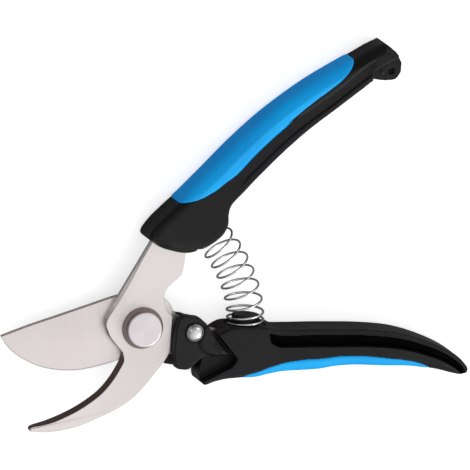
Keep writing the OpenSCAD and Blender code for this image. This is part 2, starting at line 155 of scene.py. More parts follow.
# ------------------------------------------------------------------ iso-surface
def surface_nets(F, org, h, rot=None):
    """Quads on the zero surface of the sampled field F, vertices pulled onto it."""
    S = F < 0
    cnt = np.zeros(tuple(s - 1 for s in F.shape), np.int8)
    for dx in (0, 1):
        for dy in (0, 1):
            for dz in (0, 1):
                cnt += S[dx:F.shape[0] - 1 + dx, dy:F.shape[1] - 1 + dy, dz:F.shape[2] - 1 + dz]
    act = (cnt > 0) & (cnt < 8)
    idx = np.full(act.shape, -1, np.int64)
    A = np.array(np.nonzero(act)).T
    idx[act] = np.arange(len(A))
    P = np.zeros((len(A), 3))
    N = np.zeros(len(A))
    corners = [(a, b, c) for a in (0, 1) for b in (0, 1) for c in (0, 1)]
    for ca in corners:
        for k in range(3):
            if ca[k]:
                continue
            cb = list(ca)
            cb[k] = 1
            fa = F[A[:, 0] + ca[0], A[:, 1] + ca[1], A[:, 2] + ca[2]]
            fb = F[A[:, 0] + cb[0], A[:, 1] + cb[1], A[:, 2] + cb[2]]
            m = (fa < 0) != (fb < 0)
            t = fa / np.where(np.abs(fa - fb) < 1e-12, 1e-12, fa - fb)
            p = np.array(ca, float)[None, :].repeat(len(A), 0)
            p[:, k] += t
            P[m] += p[m]
            N[m] += 1
    P = P / N[:, None] + A
    # pull the vertices onto the surface
    for _ in range(3):
        c = np.clip(P, 1, np.array(F.shape) - 3)
        i = c.astype(int)
        f = c - i
        val = np.zeros(len(P))
        g = np.zeros((len(P), 3))
        for ca in corners:
            w = np.prod([f[:, k] if ca[k] else 1 - f[:, k] for k in range(3)], axis=0)
            q = (i[:, 0] + ca[0], i[:, 1] + ca[1], i[:, 2] + ca[2])
            val += w * F[q]
            for k in range(3):
                e = [0, 0, 0]
                e[k] = 1
                hi = F[np.minimum(q[0] + e[0], F.shape[0] - 1), np.minimum(q[1] + e[1], F.shape[1] - 1), np.minimum(q[2] + e[2], F.shape[2] - 1)]
                lo = F[np.maximum(q[0] - e[0], 0), np.maximum(q[1] - e[1], 0), np.maximum(q[2] - e[2], 0)]
                g[:, k] += w * (hi - lo) / 2
        gg = (g * g).sum(1) + 1e-9
        step = np.clip(val / gg, -2, 2)[:, None] * g
        ln = np.linalg.norm(step, axis=1)
        step *= np.minimum(1, 0.4 / np.maximum(ln, 1e-9))[:, None]
        P = P - 0.8 * step
    quads = []
    for k in range(3):
        a, b = [x for x in range(3) if x != k]
        sl0 = [slice(None)] * 3
        sl1 = [slice(None)] * 3
        sl0[k] = slice(0, -1)
        sl1[k] = slice(1, None)
        cross = S[tuple(sl0)] != S[tuple(sl1)]
        C = np.array(np.nonzero(cross)).T
        C = C[(C[:, a] > 0) & (C[:, b] > 0) & (C[:, a] < F.shape[a] - 1) & (C[:, b] < F.shape[b] - 1)]
        up = S[C[:, 0], C[:, 1], C[:, 2]]
        q = []
        for da, db in ((0, 0), (1, 0), (1, 1), (0, 1)):
            D = C.copy()
            D[:, a] -= da
            D[:, b] -= db
            q.append(idx[D[:, 0], D[:, 1], D[:, 2]])
        q = np.array(q).T
        flip = up if k != 1 else ~up
        q[~flip] = q[~flip][:, ::-1]
        quads.append(q)
    Q = np.concatenate(quads)
    P = P * h + np.asarray(org)
    if rot is not None:
        c, s = math.cos(rot), math.sin(rot)
        P = np.stack([P[:, 0] * c - P[:, 1] * s, P[:, 0] * s + P[:, 1] * c, P[:, 2]], 1)
    return P, Q


def new_mesh(name, P, faces, smooth=True):
    me = bpy.data.meshes.new(name)
    P = np.asarray(P, float) * MM + OFF
    me.from_pydata(P.tolist(), [], [list(map(int, f)) for f in faces] if not isinstance(faces, np.ndarray) else faces.tolist())
    me.validate()
    ob = bpy.data.objects.new(name, me)
    bpy.context.scene.collection.objects.link(ob)
    bm = bmesh.new()
    bm.from_mesh(me)
    bmesh.ops.remove_doubles(bm, verts=bm.verts, dist=1e-7)
    bmesh.ops.recalc_face_normals(bm, faces=bm.faces)
    bm.to_mesh(me)
    bm.free()
    if smooth:
        me.polygons.foreach_set("use_smooth", [True] * len(me.polygons))
    return ob


def keep_islands(ob, least=400):
    """Drops loose specks left by the field sampling."""
    bm = bmesh.new()
    bm.from_mesh(ob.data)
    bm.verts.ensure_lookup_table()
    seen = np.zeros(len(bm.verts), bool)
    kill = []
    for v in bm.verts:
        if seen[v.index]:
            continue
        stack, part = [v], []
        seen[v.index] = True
        while stack:
            w = stack.pop()
            part.append(w)
            for e in w.link_edges:
                o = e.other_vert(w)
                if not seen[o.index]:
                    seen[o.index] = True
                    stack.append(o)
        if len(part) < least:
            kill += part
    if kill:
        bmesh.ops.delete(bm, geom=kill, context="VERTS")
        bm.to_mesh(ob.data)
    bm.free()


def sharp_by_angle(ob, deg=32):
    me = ob.data
    bm = bmesh.new()
    bm.from_mesh(me)
    for f in bm.faces:
        f.smooth = True
    lim = math.radians(deg)
    for e in bm.edges:
        e.smooth = not (len(e.link_faces) == 2 and e.calc_face_angle(0) > lim)
    bm.to_mesh(me)
    bm.free()


# ------------------------------------------------------------------ material helpers
def principled(name):
    m = bpy.data.materials.new(name)
    m.use_nodes = True
    nt = m.node_tree
    nt.nodes.clear()
    out = nt.nodes.new("ShaderNodeOutputMaterial")
    b = nt.nodes.new("ShaderNodeBsdfPrincipled")
    nt.links.new(b.outputs[0], out.inputs[0])
    tc = nt.nodes.new("ShaderNodeTexCoord")
    return m, nt, b, tc


def noise(nt, vec, scale, detail=4, rough=0.5, dist=0.0):
    n = nt.nodes.new("ShaderNodeTexNoise")
    n.inputs["Scale"].default_value = scale
    n.inputs["Detail"].default_value = detail
    n.inputs["Roughness"].default_value = rough
    n.inputs["Distortion"].default_value = dist
    if vec is not None:
        nt.links.new(vec, n.inputs["Vector"])
    return n.outputs["Fac"]


def mapping(nt, vec, scale=(1, 1, 1), rot=(0, 0, 0), loc=(0, 0, 0)):
    n = nt.nodes.new("ShaderNodeMapping")
    n.inputs["Scale"].default_value = scale
    n.inputs["Rotation"].default_value = rot
    n.inputs["Location"].default_value = loc
    nt.links.new(vec, n.inputs["Vector"])
    return n.outputs[0]


def ramp(nt, fac, stops):
    n = nt.nodes.new("ShaderNodeValToRGB")
    el = n.color_ramp.elements
    el[0].position, el[0].color = stops[0][0], (*stops[0][1], 1)
    el[1].position, el[1].color = stops[-1][0], (*stops[-1][1], 1)
    for p, c in stops[1:-1]:
        x = el.new(p)
        x.color = (*c, 1)
    nt.links.new(fac, n.inputs[0])
    return n.outputs[0]


def g(v):
    return (v, v, v)


def maprange(nt, fac, a, b, c, d):
    n = nt.nodes.new("ShaderNodeMapRange")
    for k, v in zip(("From Min", "From Max", "To Min", "To Max"), (a, b, c, d)):
        n.inputs[k].default_value = v
    nt.links.new(fac, n.inputs["Value"])
    return n.outputs[0]


def mixc(nt, fac, a, b, mode="MIX"):
    n = nt.nodes.new("ShaderNodeMix")
    n.data_type = "RGBA"
    n.blend_type = mode
    for s, v in ((n.inputs[0], fac), (n.inputs[6], a), (n.inputs[7], b)):
        if isinstance(v, (int, float)):
            s.default_value = v
        elif isinstance(v, tuple):
            s.default_value = (*v, 1)
        else:
            nt.links.new(v, s)
    return n.outputs[2]


def math_n(nt, op, a, b=None):
    n = nt.nodes.new("ShaderNodeMath")
    n.operation = op
    for s, v in zip(n.inputs, (a, b)):
        if v is None:
            continue
        if isinstance(v, (int, float)):
            s.default_value = v
        else:
            nt.links.new(v, s)
    return n.outputs[0]


def bump(nt, b, height, strength, dist):
    n = nt.nodes.new("ShaderNodeBump")
    n.inputs["Strength"].default_value = strength
    n.inputs["Distance"].default_value = dist
    nt.links.new(height, n.inputs["Height"])
    nt.links.new(n.outputs[0], b.inputs["Normal"])
    return n


def pointy(nt, lo, hi):
    n = nt.nodes.new("ShaderNodeNewGeometry")
    return maprange(nt, n.outputs["Pointiness"], lo, hi, 0, 1)


def plastic(name, base, rough=0.42, grain=0.00035, wear=0.5, spec=0.5, recess_shade=False):
    m, nt, b, tc = principled(name)
    o = tc.outputs["Object"]
    blot = noise(nt, o, 60, 5, 0.6)
    fine = noise(nt, o, 2600, 3, 0.6)
    c = ramp(nt, blot, [(0.3, tuple(x * 0.82 for x in base)), (0.7, tuple(min(1, x * 1.22) for x in base))])
    scuff = noise(nt, mapping(nt, o, (1, 1, 1), (0, 0, 0.5)), 300, 6, 0.72, 0.6)
    sc = maprange(nt, scuff, 0.60, 0.74, 0, 0.35)
    c = mixc(nt, sc, c, tuple(min(1, x * 1.5 + 0.012) for x in base))
    edge = pointy(nt, 0.515, 0.56)
    edge = math_n(nt, "MULTIPLY", edge, wear)
    c = mixc(nt, edge, c, tuple(min(1, x * 1.7 + 0.02) for x in base))
    r = maprange(nt, blot, 0.3, 0.7, rough - 0.05, rough + 0.07)
    b.inputs["Specular IOR Level"].default_value = spec
    if recess_shade:
        # painted shade in the deep side channels: colour painted blacker, with dimmer and rougher reflection than the
        # faces
        at = nt.nodes.new("ShaderNodeAttribute")
        at.attribute_name = "recess_shade"
        grit = noise(nt, o, 1700, 4, 0.7)
        recess_shade_amt = math_n(nt, "MULTIPLY", at.outputs["Fac"], maprange(nt, grit, 0.2, 0.6, 0.80, 1.0))
        c = mixc(nt, recess_shade_amt, c, tuple(x * 0.25 for x in base))
        nt.links.new(maprange(nt, recess_shade_amt, 0, 1, spec, 0.03), b.inputs["Specular IOR Level"])
        r = math_n(nt, "ADD", r, math_n(nt, "MULTIPLY", recess_shade_amt, 0.2))
    nt.links.new(c, b.inputs["Base Color"])
    nt.links.new(r, b.inputs["Roughness"])
    h = math_n(nt, "ADD", math_n(nt, "MULTIPLY", fine, 1.0), math_n(nt, "MULTIPLY", noise(nt, o, 900, 2), 0.6))
    bump(nt, b, h, 0.22, grain)
    return m


def rubber(name, base, rough=0.46, painted_glow=0.0):
    m, nt, b, tc = principled(name)
    o = tc.outputs["Object"]
    blot = noise(nt, o, 45, 4, 0.55)
    fine = noise(nt, o, 3200, 3, 0.65)
    c = ramp(nt, blot, [(0.3, tuple(x * 0.90 for x in base)), (0.7, tuple(min(1, x * 1.07) for x in base))])
    nt.links.new(c, b.inputs["Base Color"])
    nt.links.new(maprange(nt, noise(nt, o, 220, 5, 0.6), 0.3, 0.7, rough - 0.05, rough + 0.06), b.inputs["Roughness"])
    b.inputs["Specular IOR Level"].default_value = 0.30
    b.inputs["Sheen Weight"].default_value = 0.02
    # painted glow: the rubber emits a little blue light of its own to look brighter
    b.inputs["Emission Color"].default_value = (0.0, 0.17, 1, 1)
    b.inputs["Emission Strength"].default_value = painted_glow
    b.inputs["Sheen Roughness"].default_value = 0.4
    b.inputs["Sheen Tint"].default_value = (0.5, 0.8, 1, 1)
    h = math_n(nt, "ADD", fine, math_n(nt, "MULTIPLY", noise(nt, o, 700, 2), 0.5))
    bump(nt, b, h, 0.16, 0.00025)
    return m


def brushed(name, base, angle=0.0, rough=0.34, streak=0.5, across=1500, along=26, metal=1.0, tint=None, wall=None, neck_edge_light=None):
    m, nt, b, tc = principled(name)
    o = tc.outputs["Object"]
    v = mapping(nt, o, (1, 1, 1), (0, 0, -angle))
    st = noise(nt, mapping(nt, v, (along, across, across * 0.3)), 1.0, 5, 0.62)
    st2 = noise(nt, mapping(nt, v, (along * 0.35, across * 0.28, 40), (0, 0, 0.06)), 1.0, 4, 0.6)
    cloud = noise(nt, o, 38, 3, 0.5)
    mixf = math_n(nt, "ADD", math_n(nt, "MULTIPLY", st, 0.55), math_n(nt, "MULTIPLY", st2, 0.45))
    c = ramp(nt, mixf, [(0.30, tuple(x * (1 - 0.30 * streak) for x in base)), (0.52, base),
                        (0.74, tuple(min(1, x * (1 + 0.14 * streak)) for x in base))])
    c = mixc(nt, maprange(nt, cloud, 0.35, 0.7, 0, 0.35), c, tuple(x * y for x, y in zip(base, tint or (0.95, 0.92, 0.92))))
    if wall:
        # sheared edges are duller than the ground faces, and their colour is also painted darker as shade
        ge = nt.nodes.new("ShaderNodeNewGeometry")
        sx = nt.nodes.new("ShaderNodeSeparateXYZ")
        nt.links.new(ge.outputs["True Normal"], sx.inputs[0])
        up_ = maprange(nt, math_n(nt, "ABSOLUTE", sx.outputs[2]), 0.50, 0.72, 0, 1)
        grit = noise(nt, mapping(nt, o, (1, 1, 0.25)), 1400, 4, 0.65)
        wall_shade_col = ramp(nt, grit, [(0.3, tuple(x * 0.7 for x in wall)), (0.7, tuple(x * 1.35 for x in wall))])
        if neck_edge_light:
            # painted light and shade: the plate edge is painted dark inside the jaw and bright along the neck
            sy = nt.nodes.new("ShaderNodeSeparateXYZ")
            nt.links.new(o, sy.inputs[0])
            neck_light_col = ramp(nt, grit, [(0.3, tuple(x * 0.75 for x in neck_edge_light)), (0.7, tuple(min(1, x * 1.3) for x in neck_edge_light))])
            wall_shade_col = mixc(nt, maprange(nt, sy.outputs[1], -0.1183, -0.1083, 0, 1), wall_shade_col, neck_light_col)
        c = mixc(nt, up_, wall_shade_col, c)
        nt.links.new(maprange(nt, up_, 0, 1, metal * 0.3, metal), b.inputs["Metallic"])
    else:
        b.inputs["Metallic"].default_value = metal
    nt.links.new(c, b.inputs["Base Color"])
    nt.links.new(maprange(nt, mixf, 0.3, 0.7, rough + 0.07, rough - 0.07), b.inputs["Roughness"])
    b.inputs["Anisotropic"].default_value = 0.35
    bump(nt, b, mixf, 0.10, 0.00006)
    return m

# ------------------------------------------------------------------ design lines, millimetres
low_in = [[29.5, -5.5], [31, -3.4], [34.4, -1.2], [38.8, 1.1], [45, 1.5], [53.5, 1.5], [58, 1.2], [62, 0.5],
          [69, 0.5], [80, 0.7], [92, 0.7], [103, 0.5], [116, -0.6], [127, -3.2], [138, -7.4],
          [146, -12.2], [151, -17], [152.2, -19.2]]
low_out = [[27.2, -21], [28.6, -24.6], [33, -23.2], [38.5, -21.9], [45, -21.4], [53, -21.2], [59, -20],
           [65, -18.9], [73, -18.4], [82, -17.8], [90, -16.5], [99, -16], [112, -16.4], [124, -16.6],
           [136, -18.2], [144, -20.2], [149, -21.2], [151, -20.6]]
up_in = [[20, 35.9], [27, 38.7], [32, 42.8], [34.4, 47.5], [34.4, 52.5], [35.6, 56.9], [41, 63],
         [47.2, 69.9], [58.4, 81.4], [69.2, 91.2], [80.6, 100.1], [91.5, 108.7], [98, 113.4],
         [103.5, 112.2], [108.4, 112.6], [110.8, 115.8]]
up_out = [[6.2, 37.2], [0.9, 39.4], [-1.0, 41.9], [2.5, 47.5], [7.8, 53.0], [13.7, 58.9], [23.7, 69.9],
          [36.9, 84.0], [50.6, 96.7], [67.2, 109.3], [80.9, 117.8], [90, 122.9], [98.5, 127.6],
          [104.6, 127], [108.6, 123.6], [110.9, 120]]
low_dep = [0.86, 0.97, 1, 1, 1, 1, 1, 1, 1, 1, 1, 1, 1, 0.98, 0.95, 0.88, 0.78, 0.64]
up_dep = [0.9, 0.97, 1, 1, 1, 1, 1, 1, 1, 1, 1, 1, 1, 0.98, 0.96, 0.84]
HD = (nbox("lower_handle")[1][2] - nbox("lower_handle")[0][2]) / 2


def ladder_maps(IN, OUT, X, Y, n=520):
    uk = np.linspace(-0.03, 1.03, n)
    I, O = cr_at(IN, uk), cr_at(OUT, uk)
    M, Hh = (I + O) / 2, (O - I) / 2
    L2 = (Hh ** 2).sum(1)
    x, y = X.ravel(), Y.ravel()
    u, a, w = np.zeros(len(x)), np.zeros(len(x)), np.zeros(len(x))
    for s in range(0, len(x), 6000):
        px, py = x[s:s + 6000, None] - M[:, 0], y[s:s + 6000, None] - M[:, 1]
        c = Hh[:, 0] * py - Hh[:, 1] * px
        al = (px * Hh[:, 0] + py * Hh[:, 1]) / L2
        sg = (c[:, :-1] > 0) != (c[:, 1:] > 0)
        cost = np.where(sg, np.abs(al[:, :-1]), 50)
        k = cost.argmin(1)
        r = np.arange(len(k))
        bad = cost[r, k] > 40
        d2 = px ** 2 + py ** 2
        k = np.where(bad, np.minimum(d2.argmin(1), n - 2), k)
        c0, c1 = c[r, k], c[r, k + 1]
        t = np.where(bad, 0, c0 / np.where(np.abs(c0 - c1) < 1e-12, 1e-12, c0 - c1))
        t = np.clip(t, 0, 1)
        u[s:s + 6000] = uk[k] + t * (uk[1] - uk[0])
        a[s:s + 6000] = al[r, k] * (1 - t) + al[r, k + 1] * t
        w[s:s + 6000] = 2 * (np.sqrt(L2[k]) * (1 - t) + np.sqrt(L2[k + 1]) * t)
    sh = X.shape
    return u.reshape(sh), a.reshape(sh), w.reshape(sh)


class Grid:
    def __init__(self, lo, hi, h, rot=0.0):
        self.h, self.rot, self.lo = h, rot, np.array(lo, float)
        n = [int(math.ceil((b - a) / h)) + 1 for a, b in zip(lo, hi)]
        ax = [lo[k] + h * np.arange(n[k]) for k in range(3)]
        U, V = np.meshgrid(ax[0], ax[1], indexing="ij")
        c, s = math.cos(rot), math.sin(rot)
        self.X, self.Y = U * c - V * s, U * s + V * c
        self.z = ax[2][None, None, :]

    def mesh(self, name, F):
        P, Q = surface_nets(F.astype(np.float64), self.lo, self.h, self.rot)
        return new_mesh(name, P, Q)


def mark_recess_shade(ob, G, mask2, depth2, lo_=0.7, hi_=1.5):
    """Vertex weight for painted shade: 1 where a masked channel lies deeper than lo_..hi_ mm under the face."""
    co = np.empty(len(ob.data.vertices) * 3)
    ob.data.vertices.foreach_get("co", co)
    co = (co.reshape(-1, 3) - np.array(OFF)) / MM
    c, s_ = math.cos(G.rot), math.sin(G.rot)
    uu, vv = co[:, 0] * c + co[:, 1] * s_, -co[:, 0] * s_ + co[:, 1] * c
    i_ = np.clip(np.rint((uu - G.lo[0]) / G.h).astype(int), 0, mask2.shape[0] - 1)
    j_ = np.clip(np.rint((vv - G.lo[1]) / G.h).astype(int), 0, mask2.shape[1] - 1)
    val = mask2[i_, j_] * sstep(lo_, hi_, depth2[i_, j_] - np.abs(co[:, 2]))
    at = ob.data.attributes.new("recess_shade", "FLOAT", "POINT")
    at.data.foreach_set("value", val.astype(np.float32))


def handle_outline(IN, OUT, n=190):
    return np.concatenate([curve(IN, n), curve(OUT, n)[::-1]])


H = 0.34

# ================================================================== lower handle and its soft insert
G = Grid((12, -27, -11.2), (155, 9.5, 11.2), H)
X, Y, z = G.X, G.Y, G.z
u, a, w = ladder_maps(low_in, low_out, X, Y)
sd = poly_sd(handle_outline(low_in, low_out), X, Y)
d = HD * cr_s(low_dep, np.clip(u, 0, 1))
tin, tout = (1 + a) / 2 * w, (1 - a) / 2 * w           # distances from the finger side and the palm side
az = np.abs(z)
sd = sd + 0.4 * sstep(60.6, 61.6, X) * sstep(6, 3, tin) * sstep(0.9, 0.8, u)
R = 1.5 + 1.1 * sstep(0.3, -0.6, a) * sstep(59, 63, X) + 3.2 * sstep(0.15, 0.7, a) * sstep(0.2, 0.34, u) + 1.0 * sstep(0.92, 1.0, u)
skin = rmax(sd[..., None], az - d[..., None], R[..., None])
# crown of the palm side and a hair line groove along the finger rim
strip = 2.9 - 0.6 * sstep(0.7, 0.95, u)
wid = 4.9 - 2.6 * sstep(0.60, 0.97, u)
run = sstep(-0.3, 0.3, X - 56.2 - 0.30 * np.maximum(tin, 0) - 0.9 * np.maximum(tin - strip - wid + 1.6, 0) ** 2)
wall = sstep(strip - 0.2, strip + 0.3, tin)
far = 1 - sstep(strip + wid - 0.5, strip + wid + 0.35, tin)
tail = 1 - sstep(0.90, 0.965, u)
dep = 0.6 * run * (1 - sstep(strip + wid - 0.4, strip + wid + 0.4, tin)) * tail + 5.6 * wall * far * run * tail
chan = az - (d - dep)[..., None]
base = smax(skin, chan, 0.35)
# fine parting groove where the rounded rim meets the side face
rim = np.sqrt((sd + 1.3)[..., None] ** 2 + (az - (d - 0.75)[..., None]) ** 2) - 0.62
rim = np.maximum(rim, (np.maximum(61.2 - X, tin - 4.0))[..., None])
base = smax(base, -np.maximum(rim, -(base + 0.34)), 0.1)
# step around the latch lever
Vp = [[18, 10], [29, 3.6], [32.6, -0.9], [39.6, -8.7], [42.2, -11.6], [42.9, -12.8], [42.3, -14.4], [40.6, -16.6], [34, -20], [27.6, -23.3], [20, -31], [10, -31], [10, 10]]
base = smax(base, -np.maximum(poly_sd(Vp, X, Y)[..., None], 3.75 - z), 0.35)
# rear cheek
ck = [[14.4, 3], [16.2, 5.2], [20, 4.8], [26, 2.8], [31, -1], [36, -4], [36, -20], [29.5, -22.4],
      [27, -19.6], [20, -18.8], [13.5, -17.8], [13.8, -10]]
cheek = rmax(poly_sd(ck, X, Y)[..., None], np.abs(z + 5.28) - 2.22, 0.7)
base = smin(base, cheek, 0.5)
# room in front for the plates, and the slot the blade tang is moulded into
fr = poly_sd([[0, 12], [26.6, 12], [27.2, -5], [27.2, -19], [24, -26], [0, -26]], X, Y)
base = smax(base, -np.maximum(fr[..., None], np.abs(z + 1.245) - 1.805), 0.1)
tg = poly_sd([[12, 9.9], [20, 6.3], [25, 4.5], [29.2, 2.2], [32.3, -0.7], [46, -2.3], [62.1, -3.8], [66.2, -8], [62.1, -12.7], [46, -14.2], [30, -13.7], [14, -12.8]], X, Y)
base = smax(base, -np.maximum(tg[..., None], np.abs(z + 1.5) - 1.55), 0.1)
# spring seat: flat land, shallow ring and post
ro = np.sqrt((X[..., None] - 48.4) ** 2 + z ** 2)
Y3 = Y[..., None]
base = smax(base, -np.maximum(ro - 9.2, np.abs(Y3 - 4.6) - 4.0), 0.3)
post = rmax(ro - 6.2, np.abs(Y3 - 2.6) - 3.0, 0.6)
post = smax(post, -np.sqrt(np.maximum(ro - 3.4, 0) ** 2 + (Y3 - 6.9) ** 2) + 1.35, 0.3)
base = smin(base, post, 0.3)
base = smax(base, -np.maximum(np.sqrt((X[..., None] - RVX) ** 2 + (Y3 - RVY) ** 2) - 7.2, -0.1 - z), 0.15)
base = smax(base, -np.maximum(np.sqrt((X[..., None] - RVX) ** 2 + (Y3 - RVY) ** 2) - 4.6, z + 7.5), 0.15)
# soft insert: how far its border stands from the palm-side centre line
QK = ([0.225, 0.232, 0.240, 0.262, 0.288, 0.33, 0.38, 0.43, 0.485, 0.573, 0.66, 0.694, 0.727, 0.762, 0.793, 0.806, 0.816, 0.824],
      [-6, 4, 9.6, 11.0, 12.0, 12.9, 13.6, 14.35, 15.1, 14.7, 14.4, 13.95, 13.2, 11.8, 9.9, 8, 4, -6])
QL = sum(np.interp(u + k * 0.0035, *QK) for k in range(-4, 5)) / 9
q = az + tout[..., None]
edge = (q - QL[..., None]) * 0.8
pocket = np.maximum(edge - 0.10, -skin - 2.1)
body = smax(base, -pocket, 0.12)
lower_handle = G.mesh("lower_handle_shell", body)
keep_islands(lower_handle)
# painted shade: weight for darkening the deep side channel of the lower handle
mark_recess_shade(lower_handle, G, wall * far * run * tail, d)
ins = smax(smax(skin - 0.22 * np.clip(-edge / 3, 0, 1), edge + 0.02, 0.45), -skin - 1.95, 0.2)
lower_grip = G.mesh("lower_grip_insert", ins)
keep_islands(lower_grip)

# ================================================================== upper handle and its soft insert
ROT = math.radians(41)
o_ = handle_outline(up_in, up_out)
ru = o_[:, 0] * math.cos(ROT) + o_[:, 1] * math.sin(ROT)
rw = -o_[:, 0] * math.sin(ROT) + o_[:, 1] * math.cos(ROT)
G = Grid((ru.min() - 1.6, rw.min() - 1.6, -11.2), (ru.max() + 1.6, rw.max() + 1.6, 11.2), H, ROT)
X, Y, z = G.X, G.Y, G.z
u, a, w = ladder_maps(up_in, up_out, X, Y)
sd = poly_sd(handle_outline(up_in, up_out), X, Y)
# rounded underside of the head
chin = curve([[0.9, 39.4], [3.2, 37.9], [6.6, 36.6], [10.6, 35.6], [14.4, 34.95], [17.9, 34.95], [21, 35.7]], 40)
sd = np.minimum(sd, poly_sd(np.concatenate([chin, [[22, 40], [8, 43]]]), X, Y))
d = HD * cr_s(up_dep, np.clip(u, 0, 1))
tin, tout = (1 + a) / 2 * w, (1 - a) / 2 * w
az = np.abs(z)
sd = np.minimum(sd, poly_sd([[92, 124.0], [98.5, 127.8], [102.0, 129.1], [104.2, 127.7], [106.6, 125.6], [100, 119]], X, Y))
sd = np.minimum(sd, poly_sd([[95, 112.2], [98.4, 112.6], [101, 112.2], [104.5, 111.9], [104.5, 116], [96, 117]], X, Y))
R = 1.3 + (2.7 + 2.1 * sstep(0.28, 0.42, u)) * sstep(0.1, 0.7, a) * (1 - 0.78 * sstep(0.80, 0.88, u)) * sstep(0.0, 0.045, u)
skin = rmax(sd[..., None], az - d[..., None], R[..., None])
# the finger side: a low strip, a small sharp step, then a shallow web up to the insert
run = sstep(0.395, 0.44, u)
strip = 3.2
wid = 5.6
wall = sstep(strip - 0.22, strip + 0.22, tin)
far = 1 - sstep(strip + wid - 0.2, strip + wid + 0.9, tin)
dep = (1.15 * wall * far + 0.25 * (1 - wall)) * run * (1 - sstep(0.755, 0.80, u))
base = smax(skin, az - (d - dep)[..., None], 0.22)
# slot the hook plate tang is moulded into
tg = poly_sd([[-6, 24], [18.1, 24], [17.7, 33.9], [19.6, 42], [26.7, 52], [31.2, 60], [29.1, 63.7], [20.9, 59.7], [5.9, 48.2], [0.8, 37.6]], X, Y)
base = smax(base, -np.maximum(tg[..., None], np.abs(z - 1.77) - 1.78), 0.1)
# spring seat and its peg
SR = 48.4
aa = math.radians(45)
cx, cy = 0.56 * 48.4, 0.915 * 48.4
tx, ty = math.sin(aa), -math.cos(aa)                   # towards the spring
ax_ = (X - cx) * tx + (Y - cy) * ty
rr = (X - cx) * math.cos(aa) + (Y - cy) * math.sin(aa)
ro = np.sqrt(rr[..., None] ** 2 + z ** 2)
base = smax(base, -np.maximum(np.maximum(ro - 8.8, -ax_[..., None]), (ax_ - 16)[..., None]), 0.3)
base = smin(base, rmax(ro - 6.2, np.abs(ax_ - 1.0)[..., None] - 3.0, 0.6), 0.3)
# thin hanging lug
lug = [[96.2, 106], [96.7, 117.3], [98.0, 118.5], [107.4, 123.2], [116, 127], [118, 104]]
base = smax(base, -np.maximum(poly_sd(lug, X, Y)[..., None], 4.5 - az), 0.45)
hx, hy = (rec["mounts"][0]["pos_m"][0] - OFF[0]) / MM, (rec["mounts"][0]["pos_m"][1] - OFF[1]) / MM
rh = np.sqrt((X - hx) ** 2 + (Y - hy) ** 2)[..., None]
base = smax(base, -(rh - rec["mounts"][0]["dims"]["r_mm"]), 0.22)
pip = np.sqrt((X - 101.9) ** 2 + (Y - 115.9) ** 2)[..., None]
base = smin(base, np.sqrt(pip ** 2 + (az - 4.1) ** 2) - 1.0, 0.12)
QK = ([0.306, 0.314, 0.322, 0.334, 0.350, 0.375, 0.41, 0.47, 0.53, 0.60, 0.64, 0.672, 0.692, 0.706, 0.716, 0.723, 0.728],
      [-8, 5, 10.5, 14.2, 16.4, 18.0, 18.4, 18.0, 17.6, 17.2, 16.6, 15.4, 13.6, 11.2, 8.0, 3.5, -8])
QU = sum(np.interp(u + k * 0.0015, *QK) for k in range(-3, 4)) / 7
# mid-thickness counts as at least 5 mm out, so the insert never reaches the finger side
q = np.maximum(az, 5.0) + tout[..., None]
edge = (q - QU[..., None]) * 0.8
pocket = np.maximum(edge - 0.10, -skin - 2.1)
body = smax(base, -pocket, 0.12)
upper_handle = G.mesh("upper_handle_shell", body)
keep_islands(upper_handle)
ins = smax(smax(skin - 0.25 * np.clip(-edge / 3, 0, 1), edge + 0.02, 0.45), -skin - 1.95, 0.2)
upper_grip = G.mesh("upper_grip_insert", ins)
keep_islands(upper_grip)
del body, base, skin, ins, edge, pocket, q


# ================================================================== flat plates
def dense(P, step=0.7):
    """Polyline P resampled at about the given spacing, corners kept."""
    out = []
    P = [np.array(p, float) for p in P]
    for a, b in zip(P[:-1], P[1:]):
        n = max(1, int(round(np.linalg.norm(b - a) / step)))
        out += [a + (b - a) * k / n for k in range(n)]
    return out


def ring_normals(P):
    P = np.asarray(P)
    t = np.roll(P, -1, 0) - np.roll(P, 1, 0)
    t /= np.linalg.norm(t, axis=1)[:, None] + 1e-12
    return np.stack([-t[:, 1], t[:, 0]], 1)            # inward for a counter-clockwise outline


def plate(name, P, levels):
    """levels: list of (z, inset array or number). First and last are capped."""
    P = np.asarray(P)
    N = ring_normals(P)
    n = len(P)
    V, F = [], []
    for zz, ins in levels:
        ins = np.broadcast_to(np.asarray(ins, float), (n,))
        Q = P + N * ins[:, None]
        V += [(q[0], q[1], zz) for q in Q]
    for k in range(len(levels) - 1):
        for j in range(n):
            a0, b0 = k * n + j, k * n + (j + 1) % n
            F.append([a0, b0, b0 + n, a0 + n])
    F.append(list(range(n))[::-1])
    F.append([(len(levels) - 1) * n + j for j in range(n)])
    return new_mesh(name, V, F, smooth=False)


def lathe(name, prof, x=0.0, y=0.0, seg=96, closed=False):
    """Solid of revolution about a Z line; prof is (r, z) going round the section."""
    V, F = [], []
    n = len(prof)
    for k in range(seg):
        c, s_ = math.cos(2 * math.pi * k / seg), math.sin(2 * math.pi * k / seg)
        V += [(x + r * c, y + r * s_, zz) for r, zz in prof]
    m = n if closed else n - 1
    for k in range(seg):
        for j in range(m):
            a0, b0 = k * n + j, k * n + (j + 1) % n
            c0, d0 = ((k + 1) % seg) * n + (j + 1) % n, ((k + 1) % seg) * n + j
            F.append([a0, b0, c0, d0])
    bm = bmesh.new()
    vs = [bm.verts.new(Vector(v) * MM + OFFV) for v in V]
    for f in F:
        try:
            bm.faces.new([vs[i] for i in f])
        except ValueError:
            pass
    bmesh.ops.remove_doubles(bm, verts=bm.verts, dist=2e-7)
    bmesh.ops.dissolve_degenerate(bm, dist=1e-7, edges=bm.edges)
    bmesh.ops.recalc_face_normals(bm, faces=bm.faces)
    me = bpy.data.meshes.new(name)
    bm.to_mesh(me)
    bm.free()
    ob = bpy.data.objects.new(name, me)
    bpy.context.scene.collection.objects.link(ob)
    return ob


